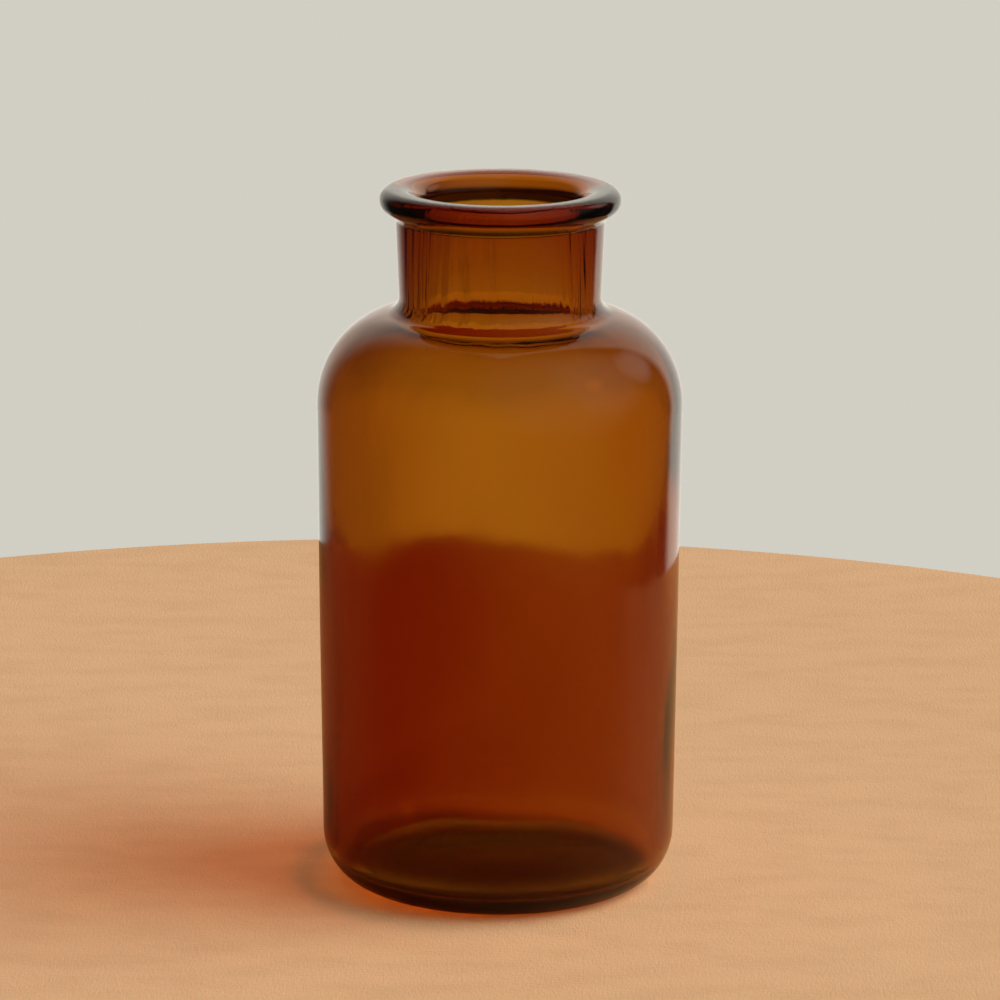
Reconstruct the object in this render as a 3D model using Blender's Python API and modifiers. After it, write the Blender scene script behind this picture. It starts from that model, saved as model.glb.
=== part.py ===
"""Wide-mouth apothecary jar: one piece of blown amber glass, open at the top.

Units are metres, +Z is up, and the origin is the middle of the foot, on the
surface that the jar stands on. The glass is one closed outline turned about Z:
up the inner wall, over the rolled lip, and down the outside to the foot.
"""
import math

import bmesh
import bpy

# Driving dimensions of the outside, from the top down
HEIGHT = 0.194
LIP_RADIUS = 0.0329            # widest part of the rolled lip
LIP_ABOVE_EQUATOR = 0.0030     # from the lip's widest ring up to its top
LIP_BELOW_EQUATOR = 0.0058     # from the widest ring down to the neck
LIP_FULLNESS = 1.5             # above 1 keeps the lip's underside round for longer
LAND_INNER_RADIUS = 0.0280     # flat ring on top of the lip
LAND_OUTER_RADIUS = 0.0295
NECK_TOP_RADIUS = 0.0285
NECK_FOOT_RADIUS = 0.0276
NECK_FILLET = 0.0045           # hollow where the neck meets the shoulder
SHOULDER_HEIGHT = 0.1345       # where the shoulder's curve meets the straight body
SHOULDER_REACH = 0.0240        # half width of the shoulder's ellipse
SHOULDER_RISE = 0.0258         # half height of the shoulder's ellipse
BODY_TOP_RADIUS = 0.0500
BODY_HEEL_RADIUS = 0.0487      # the body draws in slightly towards the heel
HEEL_REACH = 0.0123            # half width of the heel's ellipse
HEEL_RISE = 0.0144             # half height of the heel's ellipse
FOOT_RING_WIDTH = 0.0060       # flat ring that the jar stands on
PUSH_UP = 0.0015               # depth of the hollow under the jar

# Driving dimensions of the inside
MOUTH_CORNER = 0.0050          # height of the rounded corner inside the lip
NECK_WALL = 0.0068             # wall at the neck's top, where the glass is thickest
SHOULDER_WALL = 0.0044         # wall at the shoulder's top
BODY_WALL = 0.0042
INNER_HEEL = 0.0052            # round corner between the inner wall and the floor
FLOOR_HEIGHT = 0.0048          # inner floor at its edge
FLOOR_CROWN = 0.0012           # how much the floor rises in the middle

TURN_STEPS = 64
MERGE_DISTANCE = 0.00001
SMOOTH_LIMIT = math.radians(35)


def curve(centre, reach, rise, start, end, count):
    """Points of an ellipse: centre + (reach cos a, rise sin a), with a in degrees."""
    points = []
    for i in range(count + 1):
        a = math.radians(start + (end - start) * i / count)
        points.append((centre[0] + reach * math.cos(a), centre[1] + rise * math.sin(a)))
    return points


def lip_underside(count):
    """From the lip's widest ring in to the neck, along half a cosine wave."""
    equator = HEIGHT - LIP_ABOVE_EQUATOR
    points = []
    for i in range(1, count + 1):
        share = i / count
        wave = 0.5 + 0.5 * math.cos(math.pi * share ** LIP_FULLNESS)
        radius = NECK_TOP_RADIUS + (LIP_RADIUS - NECK_TOP_RADIUS) * wave
        points.append((radius, equator - LIP_BELOW_EQUATOR * share))
    return points


def dome(edge_radius, edge_height, rise, count):
    """From the edge of a shallow dome in to its middle: height = edge + rise (1 - (r / edge)^2)."""
    points = []
    for i in range(1, count + 1):
        share = 1 - i / count
        points.append((edge_radius * share, edge_height + rise * (1 - share ** 2)))
    return points


def neck_fillet():
    """Middle of the outer fillet, its turn in degrees, and the angle at which it touches the shoulder's ellipse.

    The fillet touches the neck's foot and lies on the shoulder, where it shares the ellipse's slope.
    """
    middle = BODY_TOP_RADIUS - SHOULDER_REACH
    fillet_radius = NECK_FOOT_RADIUS + NECK_FILLET
    rest_angle = math.acos((fillet_radius - middle) / SHOULDER_REACH)
    slope = math.atan2(SHOULDER_REACH * math.sin(rest_angle), SHOULDER_RISE * math.cos(rest_angle))
    touch_radius = fillet_radius - NECK_FILLET * math.cos(slope)
    touch_angle = math.acos((touch_radius - middle) / SHOULDER_REACH)
    touch_height = SHOULDER_HEIGHT + SHOULDER_RISE * math.sin(touch_angle)
    fillet_height = touch_height + NECK_FILLET * math.sin(slope)
    return (fillet_radius, fillet_height), math.degrees(slope), math.degrees(touch_angle)


def outside():
    """The outer line, from the outer edge of the lip's flat ring down to the middle of the foot."""
    equator = HEIGHT - LIP_ABOVE_EQUATOR
    lip_reach = LIP_RADIUS - LAND_OUTER_RADIUS
    line = curve((LAND_OUTER_RADIUS, equator), lip_reach, LIP_ABOVE_EQUATOR, 90, 0, 6)
    line += lip_underside(8)

    fillet_middle, slope, touch_angle = neck_fillet()
    line += curve(fillet_middle, NECK_FILLET, NECK_FILLET, 180, 180 + slope, 6)
    middle = BODY_TOP_RADIUS - SHOULDER_REACH
    shoulder = curve((middle, SHOULDER_HEIGHT), SHOULDER_REACH, SHOULDER_RISE, touch_angle, 0, 12)
    line += shoulder[1:]

    heel_middle = BODY_HEEL_RADIUS - HEEL_REACH
    line += curve((heel_middle, HEEL_RISE), HEEL_REACH, HEEL_RISE, 0, -90, 8)
    ring_inner = heel_middle - FOOT_RING_WIDTH
    line.append((ring_inner, 0.0))
    line += dome(ring_inner, 0.0, PUSH_UP, 3)
    return line


def inside():
    """The inner line, from the middle of the floor up to the inner edge of the lip's flat ring."""
    floor_edge = BODY_HEEL_RADIUS - BODY_WALL - INNER_HEEL
    line = dome(floor_edge, FLOOR_HEIGHT, FLOOR_CROWN, 3)[::-1]
    line += curve((floor_edge, FLOOR_HEIGHT + INNER_HEEL), INNER_HEEL, INNER_HEEL, -90, 0, 6)

    # The turn into the neck shares its middle with the outer fillet, so the wall keeps its thickness
    # there, and it meets the shoulder at the inner ellipse's nearest point, where their slopes agree.
    centre = (BODY_TOP_RADIUS - SHOULDER_REACH, SHOULDER_HEIGHT)
    reach = SHOULDER_REACH - BODY_WALL
    rise = SHOULDER_RISE - SHOULDER_WALL
    fillet_middle = neck_fillet()[0]
    ellipse = curve(centre, reach, rise, 0, 120, 1200)
    nearest = min(ellipse, key=lambda point: math.dist(point, fillet_middle))
    nearest_angle = 0.1 * ellipse.index(nearest)
    turn_radius = math.dist(nearest, fillet_middle)
    lean = math.degrees(math.atan2(fillet_middle[1] - nearest[1], fillet_middle[0] - nearest[0]))
    line += curve(centre, reach, rise, 0, nearest_angle, 10)
    turn = curve(fillet_middle, turn_radius, turn_radius, 180 + lean, 180, 7)
    line += turn[1:]

    mouth_radius = NECK_TOP_RADIUS - NECK_WALL
    corner_reach = LAND_INNER_RADIUS - mouth_radius
    line += curve((LAND_INNER_RADIUS, HEIGHT - MOUTH_CORNER), corner_reach, MOUTH_CORNER, 180, 90, 6)
    return line


def amber_glass():
    """Clear brown glass with a fire-polished surface."""
    material = bpy.data.materials.new("amber_glass")
    material.use_nodes = True
    shader = material.node_tree.nodes["Principled BSDF"]
    shader.inputs["Base Color"].default_value = (0.46, 0.16, 0.02, 1.0)
    shader.inputs["Roughness"].default_value = 0.04
    shader.inputs["Metallic"].default_value = 0.0
    shader.inputs["IOR"].default_value = 1.52
    shader.inputs["Transmission Weight"].default_value = 1.0
    material.diffuse_color = (0.46, 0.16, 0.02, 1.0)
    return material


def turned_piece(name, line, material, collection):
    """A closed outline in the XZ plane, from axis to axis, turned once about Z by a Screw."""
    mesh = bpy.data.meshes.new(name)
    shape = bmesh.new()
    points = [shape.verts.new((radius, 0.0, height)) for radius, height in line]
    for first, second in zip(points, points[1:]):
        shape.edges.new((first, second))
    shape.to_mesh(mesh)
    shape.free()
    mesh.materials.append(material)
    piece = bpy.data.objects.new(name, mesh)
    collection.objects.link(piece)

    screw = piece.modifiers.new("turn", "SCREW")
    screw.axis = "Z"
    screw.angle = math.tau
    screw.steps = TURN_STEPS
    screw.render_steps = TURN_STEPS
    screw.use_merge_vertices = True
    screw.merge_threshold = MERGE_DISTANCE
    screw.use_smooth_shade = True
    return piece


def evaluated_copy(piece):
    """Keep the turned mesh itself, shaded smooth except at the foot ring's edges."""
    graph = bpy.context.evaluated_depsgraph_get()
    mesh = bpy.data.meshes.new_from_object(piece.evaluated_get(graph))
    mesh.name = piece.name
    piece.modifiers.clear()
    piece.data = mesh
    mesh.shade_smooth()
    mesh.set_sharp_from_angle(angle=SMOOTH_LIMIT)


def main():
    """Clear the scene and make the jar in a collection of its own."""
    for old in list(bpy.data.objects):
        bpy.data.objects.remove(old, do_unlink=True)
    collection = bpy.data.collections.new("apothecary_jar")
    bpy.context.scene.collection.children.link(collection)
    jar = turned_piece("glass_jar", inside() + outside(), amber_glass(), collection)
    evaluated_copy(jar)


main()
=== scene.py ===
# %% [markdown]
# # A wide-mouth apothecary jar in amber glass
#
# The real jar is one piece of glass. A gob of hot glass is blown out inside
# an iron mould, so the outside is true and smooth, while the inside is only
# pushed out by air and keeps slow waves and an uneven wall. The lip is then
# rolled over by a tool while the neck is still soft, and the foot is pushed
# up a little so that the jar stands on a ring and doesn't rock.
#
# This script loads the solid of the jar as a fixed frame, makes a much
# finer glass wall in the same place, gives it an amber glass that darkens with
# the length of glass that light crosses, and sets a table, soft light and a
# camera around it.

import math

import bpy
import numpy as np
from mathutils import Euler, Matrix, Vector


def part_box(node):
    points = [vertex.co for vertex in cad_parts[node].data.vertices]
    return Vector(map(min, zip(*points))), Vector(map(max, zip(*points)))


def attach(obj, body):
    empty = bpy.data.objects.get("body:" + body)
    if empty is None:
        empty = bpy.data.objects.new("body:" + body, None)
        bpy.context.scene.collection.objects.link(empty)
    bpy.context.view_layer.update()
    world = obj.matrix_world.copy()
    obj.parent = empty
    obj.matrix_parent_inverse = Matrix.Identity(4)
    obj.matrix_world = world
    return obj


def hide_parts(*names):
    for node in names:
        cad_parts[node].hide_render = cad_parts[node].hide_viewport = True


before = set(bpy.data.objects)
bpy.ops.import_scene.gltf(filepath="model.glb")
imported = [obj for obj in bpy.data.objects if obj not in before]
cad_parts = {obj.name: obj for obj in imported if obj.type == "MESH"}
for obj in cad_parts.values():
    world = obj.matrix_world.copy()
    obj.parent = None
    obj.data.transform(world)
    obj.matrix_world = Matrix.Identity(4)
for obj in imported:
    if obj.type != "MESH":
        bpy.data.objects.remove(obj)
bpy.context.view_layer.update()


def mm(metres, digits=1):
    """Metres as millimetres, rounded for printing."""
    return round(metres * 1000, digits)


print("nodes:", sorted(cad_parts))

# %% [markdown]
# ## The outline of the glass
#
# A jar is a turned shape, so the whole of it is one closed line in a plane
# through its axis: up the inner wall, over the lip, and down the outside to
# the foot. The line could be drawn freehand, but the curves that a mould maker
# would cut, ellipses and straight runs, give cleaner glass, because every
# kink in the line becomes a ring in the reflections. The height and the
# width come from the frame. The rest are the driving dimensions of the jar.

# %% Driving dimensions of the outside, in metres
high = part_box("glass_jar")[1]
HEIGHT = high.z
BODY_TOP_RADIUS = high.x

LIP_RADIUS = 0.0329            # widest part of the rolled lip
LIP_ABOVE_EQUATOR = 0.0030     # from the lip's widest ring up to its top
LIP_BELOW_EQUATOR = 0.0058     # from the widest ring down to the neck
LIP_FULLNESS = 1.5             # above 1 keeps the lip's underside round for longer
LAND_INNER_RADIUS = 0.0280     # flat ring on top of the lip
LAND_OUTER_RADIUS = 0.0295
NECK_TOP_RADIUS = 0.0285
NECK_FOOT_RADIUS = 0.0276
NECK_FILLET = 0.0045           # hollow where the neck meets the shoulder
SHOULDER_HEIGHT = 0.1345       # where the shoulder's curve meets the straight body
SHOULDER_REACH = 0.0240        # half width of the shoulder's ellipse
SHOULDER_RISE = 0.0258         # half height of the shoulder's ellipse
BODY_HEEL_RADIUS = 0.0487      # the body draws in slightly towards the heel
HEEL_REACH = 0.0123            # half width of the heel's ellipse
HEEL_RISE = 0.0144             # half height of the heel's ellipse
FOOT_RING_WIDTH = 0.0060       # flat ring that the jar stands on
PUSH_UP = 0.0015               # depth of the hollow under the jar

SHOULDER_CENTRE = (BODY_TOP_RADIUS - SHOULDER_REACH, SHOULDER_HEIGHT)
FOOT_RADIUS = BODY_HEEL_RADIUS - HEEL_REACH

print("jar, mm:", mm(HEIGHT), "high,", mm(BODY_TOP_RADIUS * 2), "across")

# %% Driving dimensions of the inside
MOUTH_CORNER = 0.0050          # height of the rounded corner inside the lip
NECK_WALL = 0.0068             # wall at the neck's top, where the glass is thickest
SHOULDER_WALL = 0.0044         # wall at the shoulder's top
BODY_WALL = 0.0042
INNER_HEEL = 0.0052            # round corner between the inner wall and the floor
FLOOR_HEIGHT = 0.0048          # inner floor at its edge
FLOOR_CROWN = 0.0012           # how much the floor rises in the middle

INNER_REACH = SHOULDER_REACH - BODY_WALL
INNER_RISE = SHOULDER_RISE - SHOULDER_WALL
MOUTH_RADIUS = NECK_TOP_RADIUS - NECK_WALL

print("mouth, mm:", mm(MOUTH_RADIUS * 2), "across, body wall:", mm(BODY_WALL), "thick")

# %% Points in each stretch of the line
FLOOR_POINTS = 16
INNER_HEEL_POINTS = 18
WALL_POINTS = 60
SHOULDER_POINTS = 34
NECK_TURN_POINTS = 16
NECK_POINTS = 26
MOUTH_CORNER_POINTS = 16
LIP_POINTS = 16
UNDERSIDE_POINTS = 20
FILLET_POINTS = 10
OUTER_HEEL_POINTS = 22
FOOT_RING_POINTS = 4
PUSH_UP_POINTS = 12

print("a point on the straight wall every", mm(SHOULDER_HEIGHT / WALL_POINTS), "mm")


# %% Pieces of a line
def arc(centre, reach, rise, start, end, count):
    """An ellipse's points: centre + (reach cos a, rise sin a), for angles a from start to end, in
    degrees."""
    a = np.radians(np.linspace(start, end, count))
    return np.stack([centre[0] + reach * np.cos(a), centre[1] + rise * np.sin(a)], axis=1)


def run(first, last, count):
    """A straight line's points, from first to last."""
    share = np.linspace(0.0, 1.0, count)[:, None]
    return np.array(first) * (1 - share) + np.array(last) * share


def dome(edge_radius, edge_height, rise, count):
    """A shallow dome from its middle out to its edge: height = edge + rise (1 - (r / edge) squared)."""
    radius = np.linspace(0.0, edge_radius, count)
    return np.stack([radius, edge_height + rise * (1 - (radius / edge_radius) ** 2)], axis=1)


SAME_POINT = 1e-7


def joined(pieces):
    """One line of all the pieces, without the points that two neighbours share."""
    line = np.concatenate(pieces)
    step = np.linalg.norm(np.diff(line, axis=0), axis=1)
    return line[np.concatenate([[True], step > SAME_POINT])]


print("a quarter circle in three points:", arc((0, 0), 1, 1, 0, 90, 3).round(2).tolist())

# %% [markdown]
# ## Where the neck meets the shoulder
#
# The mould has a small hollow there, and the glass follows it with a wall of
# nearly the same thickness. So the outer fillet and the inner turn are drawn
# about one middle. A turn drawn by itself would leave a wedge of glass behind
# the fillet, and a wedge shows as a black ring around the neck.

# %% The round hollow where the neck meets the shoulder
def neck_fillet():
    """The outer fillet, which touches the neck's foot and rests on the shoulder's ellipse.

    The ellipse's slope at an angle a is atan2(reach sin a, rise cos a). Returns the fillet's middle
    (radius, height), the slope where it rests, and the ellipse's angle there, both in degrees."""
    middle = SHOULDER_CENTRE[0]
    fillet_radius = NECK_FOOT_RADIUS + NECK_FILLET
    rest_angle = math.acos((fillet_radius - middle) / SHOULDER_REACH)
    slope = math.atan2(SHOULDER_REACH * math.sin(rest_angle), SHOULDER_RISE * math.cos(rest_angle))
    touch_radius = fillet_radius - NECK_FILLET * math.cos(slope)
    touch_angle = math.acos((touch_radius - middle) / SHOULDER_REACH)
    touch_height = SHOULDER_HEIGHT + SHOULDER_RISE * math.sin(touch_angle)
    fillet_height = touch_height + NECK_FILLET * math.sin(slope)
    return (fillet_radius, fillet_height), math.degrees(slope), math.degrees(touch_angle)


fillet_middle, fillet_slope, touch_angle = neck_fillet()
print("fillet's middle, mm:", [mm(v) for v in fillet_middle],
      "slope:", round(fillet_slope, 1), "degrees")

# %% The turn inside it, about the same middle
SEARCH_END = 120       # degrees of the inner ellipse that are searched
SEARCH_STEP = 0.05


def neck_turn():
    """The circle about the fillet's middle that touches the shoulder's inner ellipse.

    It touches at the ellipse's nearest point, where the two share one slope. Returns its radius, the
    lean of the line from that point to the middle, and the ellipse's angle there, both in degrees."""
    count = round(SEARCH_END / SEARCH_STEP) + 1
    ellipse = arc(SHOULDER_CENTRE, INNER_REACH, INNER_RISE, 0, SEARCH_END, count)
    towards = np.array(fillet_middle) - ellipse
    gap = np.linalg.norm(towards, axis=1)
    nearest = int(gap.argmin())
    lean = math.degrees(math.atan2(towards[nearest][1], towards[nearest][0]))
    return gap[nearest], lean, nearest * SEARCH_STEP


turn_radius, turn_lean, shoulder_end = neck_turn()
print("turn inside the fillet, mm:", mm(turn_radius, 2),
      "bore radius at the neck's foot, mm:", mm(fillet_middle[0] - turn_radius, 2))


# %% The inner line, from the middle of the floor up to the lip's flat land
def inner_line():
    """Floor dome, quarter circle, straight wall, quarter ellipse, the turn, neck and mouth corner."""
    floor_edge = BODY_HEEL_RADIUS - BODY_WALL - INNER_HEEL
    heel_centre = (floor_edge, FLOOR_HEIGHT + INNER_HEEL)
    heel = arc(heel_centre, INNER_HEEL, INNER_HEEL, -90, 0, INNER_HEEL_POINTS)
    shoulder = arc(SHOULDER_CENTRE, INNER_REACH, INNER_RISE, 0, shoulder_end, SHOULDER_POINTS)
    turn = arc(fillet_middle, turn_radius, turn_radius, 180 + turn_lean, 180, NECK_TURN_POINTS)
    corner_centre = (LAND_INNER_RADIUS, HEIGHT - MOUTH_CORNER)
    corner_reach = LAND_INNER_RADIUS - MOUTH_RADIUS
    corner = arc(corner_centre, corner_reach, MOUTH_CORNER, 180, 90, MOUTH_CORNER_POINTS)
    return joined([
        dome(floor_edge, FLOOR_HEIGHT, FLOOR_CROWN, FLOOR_POINTS),
        heel,
        run(heel[-1], shoulder[0], WALL_POINTS),
        shoulder,
        turn,
        run(turn[-1], corner[0], NECK_POINTS),
        corner,
    ])


inner = inner_line()
print("points in the inner line:", len(inner))


# %% The outer line, from the lip's flat land down to the middle of the foot
def outer_line():
    """Lip, underside, straight neck, fillet, quarter ellipse, straight wall, heel and foot.

    The underside is half a cosine wave from the lip's widest ring in to the neck: the share of the
    way in is 1/2 - 1/2 cos(pi t), where t is the share of the way down, raised to the fullness."""
    equator = HEIGHT - LIP_ABOVE_EQUATOR
    lip_reach = LIP_RADIUS - LAND_OUTER_RADIUS
    lip = arc((LAND_OUTER_RADIUS, equator), lip_reach, LIP_ABOVE_EQUATOR, 90, 0, LIP_POINTS)
    share = np.linspace(0.0, 1.0, UNDERSIDE_POINTS)
    wave = 0.5 + 0.5 * np.cos(np.pi * share ** LIP_FULLNESS)
    under_radius = NECK_TOP_RADIUS + (LIP_RADIUS - NECK_TOP_RADIUS) * wave
    underside = np.stack([under_radius, equator - LIP_BELOW_EQUATOR * share], axis=1)

    fillet = arc(fillet_middle, NECK_FILLET, NECK_FILLET, 180, 180 + fillet_slope, FILLET_POINTS)
    shoulder = arc(SHOULDER_CENTRE, SHOULDER_REACH, SHOULDER_RISE, touch_angle, 0, SHOULDER_POINTS)
    heel = arc((FOOT_RADIUS, HEEL_RISE), HEEL_REACH, HEEL_RISE, 0, -90, OUTER_HEEL_POINTS)
    ring_inner = FOOT_RADIUS - FOOT_RING_WIDTH
    return joined([
        lip,
        underside,
        run(underside[-1], fillet[0], NECK_POINTS),
        fillet,
        shoulder,
        run(shoulder[-1], heel[0], WALL_POINTS),
        heel,
        run(heel[-1], (ring_inner, 0.0), FOOT_RING_POINTS),
        dome(ring_inner, 0.0, PUSH_UP, PUSH_UP_POINTS)[::-1],
    ])


outer = outer_line()
print("points in the outer line:", len(outer))

# %% [markdown]
# ## Waves in the wall
#
# Blown glass isn't a perfect lathe shape. Its inner wall has slow waves a
# tenth of a millimetre high, which bend the view through the jar, and the
# mould leaves much smaller ones outside. They could be painted as a normal
# map, but real waves also change the thickness of the glass and with it the
# depth of the colour. So they are added to the radius itself, as a sum of
# cosine waves over the turn's angle and the height. Whole numbers of waves per
# turn make them close without a seam.

# %% A smooth periodic offset
WAVE_COUNT = 24
INSIDE_WAVES = {"seed": 17, "turns": (2, 9), "lengths": (0.05, 0.16), "amount": 0.00010}
OUTSIDE_WAVES = {"seed": 23, "turns": (2, 7), "lengths": (0.06, 0.20), "amount": 0.00003}


def waves(angle, height, seed, turns, lengths, amount):
    """A sum of cosines cos(n angle + 2 pi z / length + phase), with n and length drawn evenly from
    the two ranges, scaled so that its root mean square is the given amount."""
    draw = np.random.default_rng(seed)
    total = np.zeros(np.broadcast(angle, height).shape)
    for _ in range(WAVE_COUNT):
        n = draw.integers(turns[0], turns[1] + 1)
        length = draw.uniform(*lengths) * draw.choice([-1, 1])
        total += np.cos(n * angle + math.tau * height / length + draw.uniform(0, math.tau))
    return total * amount / math.sqrt(WAVE_COUNT / 2)


print("waves, mm, inside and outside:", mm(INSIDE_WAVES["amount"], 2), mm(OUTSIDE_WAVES["amount"], 2))


# %% A line turned about the axis
def all_round(steps):
    """The angles of one turn, in equal steps, as a row."""
    return np.linspace(0.0, math.tau, steps, endpoint=False)[None, :]


def turned(radius, height, angle, centre=(0.0, 0.0)):
    """Points (centre x + r cos a, centre y + r sin a, z), as an array (line, turn, 3)."""
    return np.stack([
        centre[0] + radius * np.cos(angle),
        centre[1] + radius * np.sin(angle),
        np.broadcast_to(height, np.broadcast(radius, angle).shape),
    ], axis=2)


print("four angles round the axis:", all_round(4).round(2).tolist())

# %% The jar's wall, with its waves
JAR_STEPS = 240
WAVES_START = (0.006, 0.020)     # heights between which the waves grow, above the floor and the foot
WAVES_STOP = (0.004, 0.001)      # depths below the lip's land between which they fade out


def faded(value, low_end, high_end):
    """0 below low_end, 1 above high_end, with a smooth step 3 s squared - 2 s cubed between them."""
    share = np.clip((value - low_end) / (high_end - low_end), 0.0, 1.0)
    return share * share * (3 - 2 * share)


def jar_wall():
    """Every point of the line turned about Z, with its waves added to the radius: the inside's waves
    on the inner line, the outside's on the outer line."""
    line = np.concatenate([inner, outer])
    is_inside = np.concatenate([np.ones(len(inner)), np.zeros(len(outer))])[:, None]
    radius, height = line[:, :1], line[:, 1:]
    angle = all_round(JAR_STEPS)
    below_lip = 1 - faded(height, HEIGHT - WAVES_STOP[0], HEIGHT - WAVES_STOP[1])
    wall_share = faded(height, *WAVES_START) * below_lip
    inside_waves = waves(angle, height, **INSIDE_WAVES)
    outside_waves = waves(angle, height, **OUTSIDE_WAVES)
    offset = (is_inside * inside_waves + (1 - is_inside) * outside_waves) * wall_share
    return turned(radius + offset, height, angle)


wall = jar_wall()
print("grid of the wall:", wall.shape[0], "rings of", wall.shape[1], "points")


# %% A closed mesh
def closed_turn(name, points):
    """A mesh of the grid of quads between neighbouring rings, with the first and the last ring each
    drawn in to one point on the axis, so that the solid is closed."""
    rings, steps = points.shape[:2]
    middle = points[1:-1].reshape(-1, 3)
    first, last = points[0].mean(axis=0), points[-1].mean(axis=0)
    places = np.concatenate([middle, [first], [last]])
    row = np.arange(rings - 3)[:, None] * steps
    here = np.arange(steps)[None, :]
    there = (here + 1) % steps
    corners = [row + here, row + steps + here, row + steps + there, row + there]
    quads = np.stack(corners, axis=2).reshape(-1, 4)
    top_row = (rings - 3) * steps
    first_pole, last_pole = np.full(steps, len(middle)), np.full(steps, len(middle) + 1)
    first_fan = np.stack([first_pole, here[0], there[0]], axis=1)
    last_fan = np.stack([last_pole, top_row + there[0], top_row + here[0]], axis=1)
    mesh = bpy.data.meshes.new(name)
    mesh.from_pydata(places.tolist(), [], quads.tolist() + first_fan.tolist() + last_fan.tolist())
    mesh.shade_smooth()
    mesh.update()
    piece = bpy.data.objects.new(name, mesh)
    bpy.context.scene.collection.objects.link(piece)
    return piece


jar = closed_turn("amber_jar", wall)
print("glass wall:", len(jar.data.vertices), "points,", len(jar.data.polygons), "faces")

# %% [markdown]
# ## Small tools for node trees
#
# The glass, the table and the room all need the same few steps: a sum, a
# smooth step between two values, a noise. Each is a short function that adds
# one or a few nodes and hands back the output, so that the materials below
# read like the sentences that describe them.

# %% Sums, products and distances
def maths(tree, operation, first, second=None):
    """The output of a Math node on one or two sockets or plain numbers."""
    node = tree.nodes.new("ShaderNodeMath")
    node.operation = operation
    for place, value in enumerate((first, second)):
        if isinstance(value, (int, float)):
            node.inputs[place].default_value = value
        elif value is not None:
            tree.links.new(value, node.inputs[place])
    return node.outputs[0]


def product(tree, first, *others):
    """All the values multiplied, one Math node after another."""
    for other in others:
        first = maths(tree, "MULTIPLY", first, other)
    return first


def total(tree, first, *others):
    """All the values added, one Math node after another."""
    for other in others:
        first = maths(tree, "ADD", first, other)
    return first


def split(tree, vector):
    """The x, y and z of a vector."""
    node = tree.nodes.new("ShaderNodeSeparateXYZ")
    tree.links.new(vector, node.inputs[0])
    return node.outputs


def from_axis(tree, x, y):
    """The distance from an upright axis: the root of x squared + y squared."""
    return maths(tree, "SQRT", total(tree, product(tree, x, x), product(tree, y, y)))


print("number tools:", [tool.__name__ for tool in (maths, product, total, split, from_axis)])


# %% Smooth steps, noise, colours and relief
def smooth_range(tree, value, start, end, low, high):
    """A smooth step: low where value is at start, high where it is at end, and level beyond them."""
    node = tree.nodes.new("ShaderNodeMapRange")
    node.interpolation_type = "SMOOTHSTEP"
    for name, number in (("From Min", start), ("From Max", end), ("To Min", low), ("To Max", high)):
        node.inputs[name].default_value = number
    tree.links.new(value, node.inputs["Value"])
    return node.outputs["Result"]


def stretched_noise(tree, place, stretch, scale, detail):
    """Noise from 0 to 1 on a place scaled by stretch along each axis, where less than 1 draws the
    noise out, with scale features per metre."""
    mapping = tree.nodes.new("ShaderNodeMapping")
    mapping.inputs["Scale"].default_value = stretch
    tree.links.new(place, mapping.inputs["Vector"])
    noise = tree.nodes.new("ShaderNodeTexNoise")
    noise.inputs["Scale"].default_value = scale
    noise.inputs["Detail"].default_value = detail
    tree.links.new(mapping.outputs["Vector"], noise.inputs["Vector"])
    return noise.outputs["Fac"]


def colour_mix(tree, share, first, second):
    """The first colour where share is 0, the second where it is 1."""
    node = tree.nodes.new("ShaderNodeMix")
    node.data_type = "RGBA"
    tree.links.new(share, node.inputs[0])
    for place, value in ((6, first), (7, second)):      # the Mix node's colour sockets, A and B
        if isinstance(value, tuple):
            node.inputs[place].default_value = (*value, 1.0)
        else:
            tree.links.new(value, node.inputs[place])
    return node.outputs[2]


def relief(tree, height):
    """The normal of a surface that a Bump node raises by a height in metres."""
    bump = tree.nodes.new("ShaderNodeBump")
    bump.inputs["Strength"].default_value = 1.0
    bump.inputs["Distance"].default_value = 1.0
    tree.links.new(height, bump.inputs["Height"])
    return bump.outputs["Normal"]


print("surface tools:", [tool.__name__ for tool in (smooth_range, stretched_noise, colour_mix, relief)])

# %% [markdown]
# ## Amber glass
#
# The brown of a pharmacy jar is in the glass, not on it: thin glass looks
# honey yellow, the thick lip and the floor nearly black. A tinted surface
# would give every part the same brown. So the surface stays clear and the
# colour is an absorption inside it, per metre of glass: little for red, three
# times as much for green and most of all for blue.
#
# The surface is fire-polished, but not flat. The outside carries a faint
# unevenness a few centimetres long, the bore has the fine upright lines that
# the blowing tool leaves in it, and handling leaves patches that are a little
# less clear.

# %% The surface's settings
# A noise: its stretch along x, y and z, its features per metre, and its detail
UPRIGHT_LINES = (1.0, 1.0, 0.035), 300.0, 2.5
SLOW_UNEVENNESS = (1.0, 1.0, 0.4), 45.0, 2.0
FINE_UNEVENNESS = (1.0, 1.0, 1.0), 700.0, 2.0
HANDLING = (1.0, 1.0, 0.6), 55.0, 4.0

# The height of each, in metres, at full noise
LINE_RELIEF = 0.0006
SLOW_RELIEF = 0.00022
FINE_RELIEF = 0.0000035

# A smooth step: where it starts and ends, and its value at the two ends
IN_BORE = 0.0245, 0.0262, 1.0, 0.0                          # by distance from the axis
ABOVE_SHOULDER = 0.152, 0.162, 0.0, 1.0                     # by height
BELOW_MOUTH = HEIGHT - 0.010, HEIGHT - 0.003, 1.0, 0.0      # by height
BODY_TO_NECK_ROUGHNESS = 0.148, 0.166, 0.055, 0.02          # by height
HANDLED_ROUGHNESS = 0.45, 0.70, 0.0, 0.03                   # by the handling noise

print("roughness of the body and of the neck:", BODY_TO_NECK_ROUGHNESS[2:])


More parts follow.
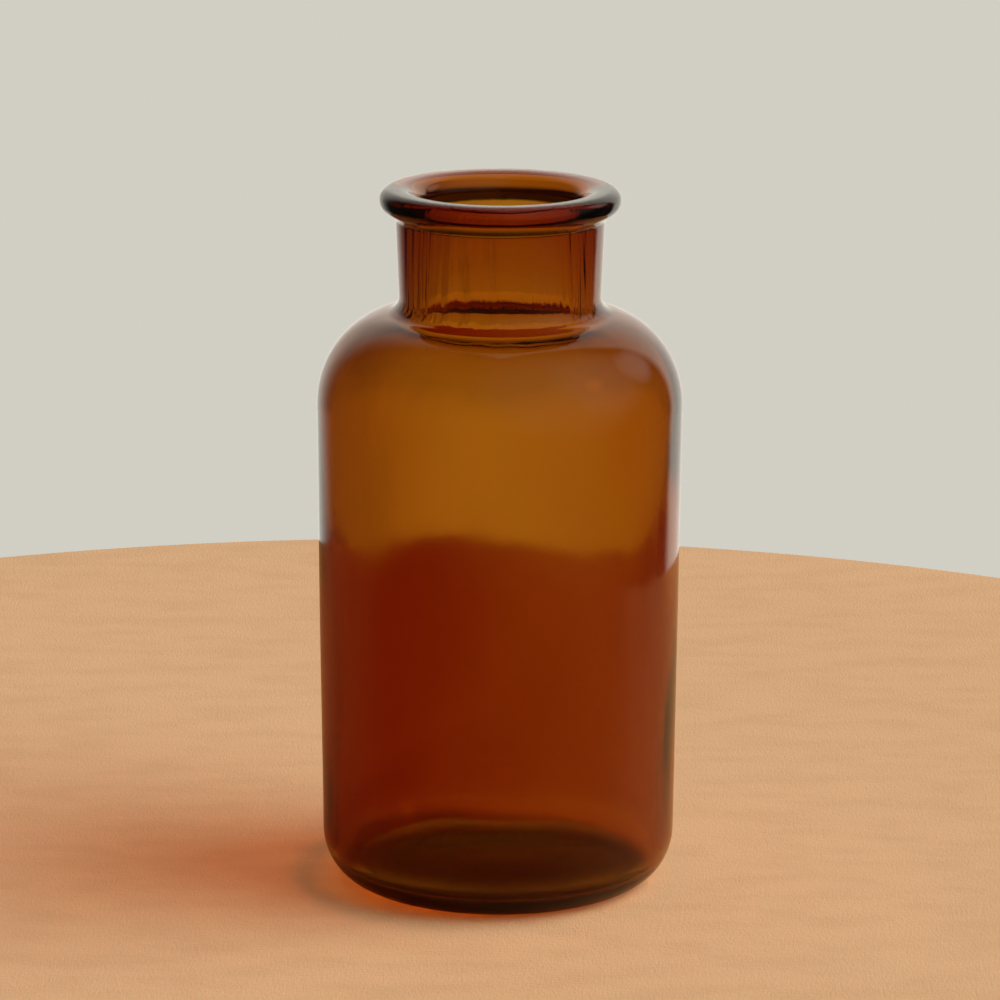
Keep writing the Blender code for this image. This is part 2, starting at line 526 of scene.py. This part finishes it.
# %% The surface: upright lines, slow waves and patches
def glass_surface():
    """A node group that gives the roughness and the normal at an object-space place."""
    group = bpy.data.node_groups.new("blown_glass_surface", "ShaderNodeTree")
    group.interface.new_socket("Place", in_out="INPUT", socket_type="NodeSocketVector")
    group.interface.new_socket("Roughness", in_out="OUTPUT", socket_type="NodeSocketFloat")
    group.interface.new_socket("Normal", in_out="OUTPUT", socket_type="NodeSocketVector")
    entry, leave = group.nodes.new("NodeGroupInput"), group.nodes.new("NodeGroupOutput")
    place = entry.outputs["Place"]
    x, y, z = split(group, place)

    # Upright lines on the wall of the bore only, fading out under the mouth and at the shoulder.
    in_bore = product(
        group,
        smooth_range(group, from_axis(group, x, y), *IN_BORE),
        smooth_range(group, z, *ABOVE_SHOULDER),
        smooth_range(group, z, *BELOW_MOUTH),
    )
    lines = stretched_noise(group, place, *UPRIGHT_LINES)
    slow = stretched_noise(group, place, *SLOW_UNEVENNESS)
    fine = stretched_noise(group, place, *FINE_UNEVENNESS)
    height = total(
        group,
        product(group, in_bore, lines, LINE_RELIEF),
        product(group, slow, SLOW_RELIEF),
        product(group, fine, FINE_RELIEF),
    )
    group.links.new(relief(group, height), leave.inputs["Normal"])

    clear = smooth_range(group, z, *BODY_TO_NECK_ROUGHNESS)
    handled = stretched_noise(group, place, *HANDLING)
    patches = smooth_range(group, handled, *HANDLED_ROUGHNESS)
    group.links.new(total(group, clear, patches), leave.inputs["Roughness"])
    return group


surface_group = glass_surface()
print("surface group:", len(surface_group.nodes), "nodes")

# %% The glass
GLASS_IOR = 1.52
GLASS_SHEEN = (1.0, 0.88, 0.7)           # slightly warm reflections
ABSORBED_COLOUR = (0.88, 0.645, 0.0)
ABSORBED_DENSITY = 620.0


def amber_glass():
    """Clear glass with an uneven surface, whose colour comes from the length of glass that light
    crosses: the share that is left after a length s is exp(-Density (1 - Color) s) in each channel."""
    material = bpy.data.materials.new("amber_glass")
    material.use_nodes = True
    tree = material.node_tree
    shader = tree.nodes["Principled BSDF"]
    shader.inputs["Base Color"].default_value = (1.0, 1.0, 1.0, 1.0)
    shader.inputs["Metallic"].default_value = 0.0
    shader.inputs["IOR"].default_value = GLASS_IOR
    shader.inputs["Transmission Weight"].default_value = 1.0
    shader.inputs["Specular Tint"].default_value = (*GLASS_SHEEN, 1.0)
    surface = tree.nodes.new("ShaderNodeGroup")
    surface.node_tree = surface_group
    place = tree.nodes.new("ShaderNodeTexCoord").outputs["Object"]
    tree.links.new(place, surface.inputs["Place"])
    tree.links.new(surface.outputs["Roughness"], shader.inputs["Roughness"])
    tree.links.new(surface.outputs["Normal"], shader.inputs["Normal"])
    body = tree.nodes.new("ShaderNodeVolumeAbsorption")
    body.inputs["Color"].default_value = (*ABSORBED_COLOUR, 1.0)
    body.inputs["Density"].default_value = ABSORBED_DENSITY
    tree.links.new(body.outputs["Volume"], tree.nodes["Material Output"].inputs["Volume"])
    return material


jar.data.materials.append(amber_glass())
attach(jar, "root")
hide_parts("glass_jar")
absorption = [round(ABSORBED_DENSITY * (1 - share)) for share in ABSORBED_COLOUR]
print("absorption per metre, red green blue:", absorption)

# %% [markdown]
# ## The table
#
# A jar like this is seen against the table that it stands on, so the table is
# part of its look: a round top in a pale sand colour, whose far edge crosses
# behind the jar. Its surface is a fine cloth. A flat plane would do for the
# shape, but a disc with a rounded edge also holds up from other sides.
#
# With absorption alone, the jar looks too light and too yellow against such a
# bright cloth. So the cloth is given painted shade for rays that come through
# glass: a deeper, redder colour, darker on the left, away from the window, and
# deepest under the foot, where the jar's own shade falls. This is a painter's
# aid, not physics: its colours are chosen, not measured, and on another table
# the same glass looks lighter. Rays that come off the glass as a reflection get
# a third set of tones, a painted reflection of the cloth, darkest in front of
# the jar, because a pale reflection laid over amber turns it olive.

# %% The table's shape
TABLE_RADIUS = 0.397
TABLE_CENTRE = (-0.024, -0.011)
TABLE_DEPTH = 0.020
TABLE_EDGE = 0.006             # radius of the rounded edge
TABLE_GAP = 0.0001             # a hair's breadth under the foot, so that the two don't touch
TABLE_STEPS = 360
TABLE_LINE_POINTS = 8          # in each of the four stretches of its line


def table_points():
    """A disc's outline, from the middle of its underside out, round the edge and back in to the
    middle of the top, turned about its own axis. The order is turned round so that faces look out."""
    rim = TABLE_RADIUS - TABLE_EDGE
    count = TABLE_LINE_POINTS
    line = joined([
        run((0.0, -TABLE_DEPTH), (rim, -TABLE_DEPTH), count),
        arc((rim, -TABLE_DEPTH + TABLE_EDGE), TABLE_EDGE, TABLE_EDGE, -90, 0, count),
        arc((rim, -TABLE_GAP - TABLE_EDGE), TABLE_EDGE, TABLE_EDGE, 0, 90, count),
        run((rim, -TABLE_GAP), (0.0, -TABLE_GAP), count),
    ])
    return turned(line[:, :1], line[:, 1:], all_round(TABLE_STEPS), TABLE_CENTRE)[::-1]


table = closed_turn("table_top", table_points())
print("table:", round(TABLE_RADIUS * 2, 2), "m across,", len(table.data.polygons), "faces")

# %% The cloth's colours, with painted shade and painted reflections
CLOTH_COLOUR = (0.665, 0.395, 0.208)
CLOTH_DEEP = (0.625, 0.366, 0.190)

# Painted shade: the cloth as rays through the glass see it, darker on the left, away from the window,
# and deepest under the foot.
SHADED_THROUGH_GLASS_LEFT = (0.27, 0.028, 0.006)             # for rays that come through glass
SHADED_THROUGH_GLASS_RIGHT = (0.41, 0.175, 0.045)
SHADED_THROUGH_GLASS_UNDER_FOOT = (0.085, 0.004, 0.003)

# Painted reflection: darker tones of the cloth as the glass reflects it, darkest in front of the jar.
SHEEN_FRONT = (0.09, 0.012, 0.004)           # for rays that come off the glass
SHEEN_LEFT = (0.33, 0.11, 0.025)
SHEEN_RIGHT = (0.52, 0.25, 0.09)

print("open cloth:", CLOTH_COLOUR, "under the foot, through glass:", SHADED_THROUGH_GLASS_UNDER_FOOT)

# %% The cloth's settings
FOOT_SHADE_AHEAD = 0.014                     # how far in front of the jar's axis its shade is centred

# A smooth step: where it starts and ends, and its value at the two ends
TONE_RANGE = 0.35, 0.75, 0.0, 1.0                            # by the noise of the tones
LEFT_TO_RIGHT = -0.055, 0.060, 0.0, 1.0                      # by x
FRONT_TO_BACK = -0.12, 0.02, 0.0, 1.0                        # by y
UNDER_FOOT = FOOT_RADIUS, FOOT_RADIUS + 0.022, 1.0, 0.0      # by distance from the shade's middle
WEAVE_ROUGHNESS = 0.6, 1.4, 0.85, 0.95                       # by the sum of the two weave noises

# A noise: its stretch along x, y and z, its features per metre, and its detail
TONES = (0.7, 1.4, 1.0), 60.0, 8.0
WEFT = (0.25, 1.0, 1.0), 1500.0, 1.0
WARP = (1.0, 0.25, 1.0), 1500.0, 1.0
FOLDS = (0.15, 1.0, 1.0), 22.0, 2.0

WEAVE_RELIEF = 0.00010
FOLD_RELIEF = 0.0005
CLOTH_SPECULAR = 0.2

print("shade under the foot fades out", mm(UNDER_FOOT[1]), "mm from its middle")


# %% The cloth
def table_cloth():
    """Cotton with soft uneven tones and a fine weave, with painted shade for rays that come through
    the glass and painted reflection tones for rays that come off it."""
    material = bpy.data.materials.new("sand_cloth")
    material.use_nodes = True
    tree = material.node_tree
    shader = tree.nodes["Principled BSDF"]
    shader.inputs["Specular IOR Level"].default_value = CLOTH_SPECULAR
    place = tree.nodes.new("ShaderNodeTexCoord").outputs["Object"]
    x, y = split(tree, place)[:2]

    tones = smooth_range(tree, stretched_noise(tree, place, *TONES), *TONE_RANGE)
    open_cloth = colour_mix(tree, tones, CLOTH_COLOUR, CLOTH_DEEP)
    side = smooth_range(tree, x, *LEFT_TO_RIGHT)
    # Painted shade for rays through the glass: darker on the left, deepest in the shade under the foot.
    foot_distance = from_axis(tree, x, total(tree, y, FOOT_SHADE_AHEAD))
    painted_foot_shade = smooth_range(tree, foot_distance, *UNDER_FOOT)
    seen = colour_mix(tree, painted_foot_shade, colour_mix(tree, side, SHADED_THROUGH_GLASS_LEFT, SHADED_THROUGH_GLASS_RIGHT), SHADED_THROUGH_GLASS_UNDER_FOOT)
    # Painted reflection tones for rays that come off the glass, darkest in front of the jar.
    behind = smooth_range(tree, y, *FRONT_TO_BACK)
    sheen = colour_mix(tree, behind, SHEEN_FRONT, colour_mix(tree, side, SHEEN_LEFT, SHEEN_RIGHT))
    path = tree.nodes.new("ShaderNodeLightPath").outputs
    cloth = colour_mix(tree, path["Is Glossy Ray"], open_cloth, sheen)
    cloth = colour_mix(tree, path["Is Transmission Ray"], cloth, seen)
    tree.links.new(cloth, shader.inputs["Base Color"])

    weave = total(tree, stretched_noise(tree, place, *WEFT), stretched_noise(tree, place, *WARP))
    folds = stretched_noise(tree, place, *FOLDS)
    height = total(tree, product(tree, weave, WEAVE_RELIEF), product(tree, folds, FOLD_RELIEF))
    tree.links.new(relief(tree, height), shader.inputs["Normal"])
    tree.links.new(smooth_range(tree, weave, *WEAVE_ROUGHNESS), shader.inputs["Roughness"])
    return material


table.data.materials.append(table_cloth())
print("cloth:", len(table.active_material.node_tree.nodes), "nodes")

# %% [markdown]
# ## The studio
#
# Glass has no look of its own. It shows what is around it, so the room
# matters as much as the material. A single even sky would make the jar flat,
# and bare lamps would put hard white squares on it. So the room is painted in
# the world shader: a pale wall behind the table that reaches round to both
# sides, a large soft window high on the right and a dim rest.
#
# It comes in four versions, picked by the kind of ray: the even wall for the
# camera, a wall with a dark ceiling and a small window for light that came
# through the glass, the wall with two soft sheens for reflections, and the
# wall with the large window for the light on the table. A real room has only
# one. Four of them keep the wall even without a bright haze on the glass.

# %% The room's colours and settings
WALL_COLOUR = (0.640, 0.618, 0.550)
WALL_THROUGH_GLASS = (0.665, 0.631, 0.558)
WALL_IN_REFLECTIONS = (1.0, 0.95, 0.84)
WALL_ON_TABLE = (1.0, 0.97, 0.92)
WINDOW_COOL = (0.96, 0.98, 1.0)
WINDOW_WARM = (1.0, 0.98, 0.94)
FRONT_WARM = (1.0, 0.98, 0.95)

# A soft patch: its direction, the half angles of its core and its edge in degrees, and its strength
WINDOW_DIRECTION = (0.80, -0.10, 0.60)
WINDOW_THROUGH_GLASS = WINDOW_DIRECTION, 3, 8, 2.5
WINDOW_ON_TABLE = WINDOW_DIRECTION, 8, 40, 5.6
WINDOW_SHEEN = (0.765, 0.44, 0.47), 3, 16, 0.6
FRONT_SHEEN = (0.62, -0.50, 0.60), 20, 60, 0.18

REFLECTED_WALL = 1.05          # strength of the wall in reflections
REFLECTED_REST = 0.035         # strength of the rest of the room in reflections
WALL_LIGHT = 0.4               # strength of the wall's light on the table
ROOM_FILL = 0.20               # strength of the rest of the room's light on the table
GATHERED_LIGHT = 0.8           # extra share of the window that reaches the table through the jar

print("window towards", WINDOW_DIRECTION, "strength on the table", WINDOW_ON_TABLE[3])

# %% Where the room grows lighter and darker
# A smooth step: where it starts and ends, and its value at the two ends. Sides are in degrees from
# the middle of the wall, minus to the left, and heights are the sine of the angle above level.
WALL_LEFT_EDGE = -52.0, -22.0, 0.0, 1.0
WALL_LEFT_SHADE = -20.0, -6.0, 0.75, 1.0
WALL_RIGHT_EDGE = 40.0, 49.0, 1.0, 0.0
WALL_UPWARDS = 0.25, 1.0, 0.95, 0.45

GLASS_ABOVE_TABLE = -0.215, -0.180, 1.0, 0.78
GLASS_CEILING = 0.05, 0.45, 1.0, 0.12
GLASS_LEFT_SHADE = -9.0, -1.0, 0.72, 1.0

print("wall from", WALL_LEFT_EDGE[0], "to", WALL_RIGHT_EDGE[1], "degrees")


# %% Parts of the room
def soft_patch(tree, direction, towards, half_inside, half_outside, strength):
    """A round soft patch of the sky: strength within half_inside degrees of a direction, and 0 past
    half_outside. It steps on the cosine of the angle, which is the dot product of two directions."""
    node = tree.nodes.new("ShaderNodeVectorMath")
    node.operation = "DOT_PRODUCT"
    tree.links.new(direction, node.inputs[0])
    node.inputs[1].default_value = tuple(np.array(towards) / np.linalg.norm(towards))
    edge, core = math.cos(math.radians(half_outside)), math.cos(math.radians(half_inside))
    return smooth_range(tree, node.outputs["Value"], edge, core, 0.0, strength)


def coloured(tree, colour, strength):
    """A Background shader of one colour, with a linked or a plain strength."""
    node = tree.nodes.new("ShaderNodeBackground")
    node.inputs["Color"].default_value = (*colour, 1.0)
    if isinstance(strength, (int, float)):
        node.inputs["Strength"].default_value = strength
    else:
        tree.links.new(strength, node.inputs["Strength"])
    return node.outputs[0]


def together(tree, first, second):
    """The light of both shaders."""
    node = tree.nodes.new("ShaderNodeAddShader")
    tree.links.new(first, node.inputs[0])
    tree.links.new(second, node.inputs[1])
    return node.outputs[0]


def either(tree, share, first, second):
    """The first shader where share is 0, the second where it is 1."""
    node = tree.nodes.new("ShaderNodeMixShader")
    tree.links.new(share, node.inputs[0])
    tree.links.new(first, node.inputs[1])
    tree.links.new(second, node.inputs[2])
    return node.outputs[0]


print("room tools:", [tool.__name__ for tool in (soft_patch, coloured, together, either)])


# %% The wall, as the glass, reflections and the table meet it
def back_wall(tree, azimuth, z):
    """How much pale wall lies in a direction. The left part is in shade."""
    sides = product(
        tree,
        smooth_range(tree, azimuth, *WALL_LEFT_EDGE),
        smooth_range(tree, azimuth, *WALL_LEFT_SHADE),
        smooth_range(tree, azimuth, *WALL_RIGHT_EDGE),
    )
    return product(tree, sides, smooth_range(tree, z, *WALL_UPWARDS))


def through_glass(tree, direction, azimuth, z):
    """For light that came through the glass: a wall with a dark ceiling and a shaded left side, and
    the window as a small bright patch."""
    wall_share = product(
        tree,
        smooth_range(tree, z, *GLASS_ABOVE_TABLE),
        smooth_range(tree, z, *GLASS_CEILING),
        smooth_range(tree, azimuth, *GLASS_LEFT_SHADE),
    )
    window = soft_patch(tree, direction, *WINDOW_THROUGH_GLASS)
    return together(
        tree,
        coloured(tree, WALL_THROUGH_GLASS, wall_share),
        coloured(tree, WINDOW_COOL, window),
    )


def in_reflections(tree, direction, pale):
    """For reflections: the pale wall in a dim room, a small sheen of the window and a wide one in
    front."""
    wall_share = total(tree, product(tree, pale, REFLECTED_WALL), REFLECTED_REST)
    window_sheen = soft_patch(tree, direction, *WINDOW_SHEEN)
    front_sheen = soft_patch(tree, direction, *FRONT_SHEEN)
    return together(
        tree,
        coloured(tree, WALL_IN_REFLECTIONS, wall_share),
        together(
            tree,
            coloured(tree, WINDOW_COOL, window_sheen),
            coloured(tree, FRONT_WARM, front_sheen),
        ),
    )


def on_table(tree, direction, pale, gathered):
    """For the light on the table: the wall, the dim rest and the large soft window."""
    wall_share = total(tree, product(tree, pale, WALL_LIGHT), ROOM_FILL)
    window = product(tree, soft_patch(tree, direction, *WINDOW_ON_TABLE), gathered)
    return together(
        tree,
        coloured(tree, WALL_ON_TABLE, wall_share),
        coloured(tree, WINDOW_WARM, window),
    )


print("versions of the room besides the camera's: 3")


# %% The whole room
def studio_room():
    """The four versions of the room, picked by the kind of ray. A ray that has left the cloth counts
    as light on the table even when it meets the glass on its way."""
    world = bpy.data.worlds.new("studio_room")
    bpy.context.scene.world = world
    world.use_nodes = True
    tree = world.node_tree
    tree.nodes.remove(tree.nodes["Background"])
    direction = tree.nodes.new("ShaderNodeTexCoord").outputs["Generated"]
    x, y, z = split(tree, direction)
    azimuth = product(tree, maths(tree, "ARCTAN2", x, y), math.degrees(1.0))
    pale = back_wall(tree, azimuth, z)

    path = tree.nodes.new("ShaderNodeLightPath").outputs
    after_cloth = maths(tree, "GREATER_THAN", path["Diffuse Depth"], 0.5)
    before_cloth = maths(tree, "LESS_THAN", path["Diffuse Depth"], 0.5)
    extra = product(tree, after_cloth, path["Is Transmission Ray"], GATHERED_LIGHT)
    gathered = total(tree, 1.0, extra)
    reflected = product(tree, path["Is Glossy Ray"], before_cloth)
    refracted = product(tree, path["Is Transmission Ray"], before_cloth)

    room = on_table(tree, direction, pale, gathered)
    room = either(tree, reflected, room, in_reflections(tree, direction, pale))
    room = either(tree, refracted, room, through_glass(tree, direction, azimuth, z))
    room = either(tree, path["Is Camera Ray"], room, coloured(tree, WALL_COLOUR, 1.0))
    tree.links.new(room, tree.nodes["World Output"].inputs["Surface"])
    return world


room = studio_room()
print("room:", len(room.node_tree.nodes), "nodes")

# %% [markdown]
# ## The camera
#
# A long lens from a little over a metre away keeps the sides of the jar nearly
# upright. It looks down at the jar, so the mouth and the floor both show as
# ellipses. A wide lens close by would show the same parts but bow the body.

# %% A long lens, looking slightly down
SENSOR_WIDTH = 36.0                          # a full frame, in mm
LENS_LENGTH = 180.0                          # in mm
CAMERA_PLACE = (0.0002, -1.3340, 0.43266)
CAMERA_TILT = 13.72                          # degrees below level
CAMERA_ROLL = 0.0038                         # radians
CAMERA_REACH = 20.0                          # farthest thing that it draws, in metres


def camera():
    """A full-frame camera with a 180 mm lens, in front of the jar and above it."""
    data = bpy.data.cameras.new("camera")
    data.sensor_width = SENSOR_WIDTH
    data.lens = LENS_LENGTH
    data.clip_end = CAMERA_REACH
    view = bpy.data.objects.new("camera", data)
    bpy.context.scene.collection.objects.link(view)
    view.location = CAMERA_PLACE
    tilt = Euler((math.radians(90 - CAMERA_TILT), 0, 0)).to_matrix()
    roll = Matrix.Rotation(CAMERA_ROLL, 3, "Z")
    view.rotation_euler = (tilt @ roll).to_euler()
    bpy.context.scene.camera = view
    return view


view = camera()
print("camera:", [round(v, 3) for v in view.location], "looking down", CAMERA_TILT, "degrees")

# %% [markdown]
# ## How far light is followed
#
# A ray crosses two walls of the jar, each with two surfaces, and some of it
# goes to and fro between them, so it needs more bounces than a dull object
# does. Blender also blurs light that reaches a dull surface by way of glass,
# which saves noise but wipes out the orange light in the jar's shadow. So that
# blur is off.

# %% Bounces and colours
GLASS_BOUNCES = 24
GLOSSY_BOUNCES = 12

scene = bpy.context.scene
scene.view_settings.view_transform = "Standard"
scene.cycles.max_bounces = GLASS_BOUNCES
scene.cycles.transmission_bounces = GLASS_BOUNCES
scene.cycles.glossy_bounces = GLOSSY_BOUNCES
scene.cycles.blur_glossy = 0.0
print("bounces:", scene.cycles.max_bounces, "colours:", scene.view_settings.view_transform)
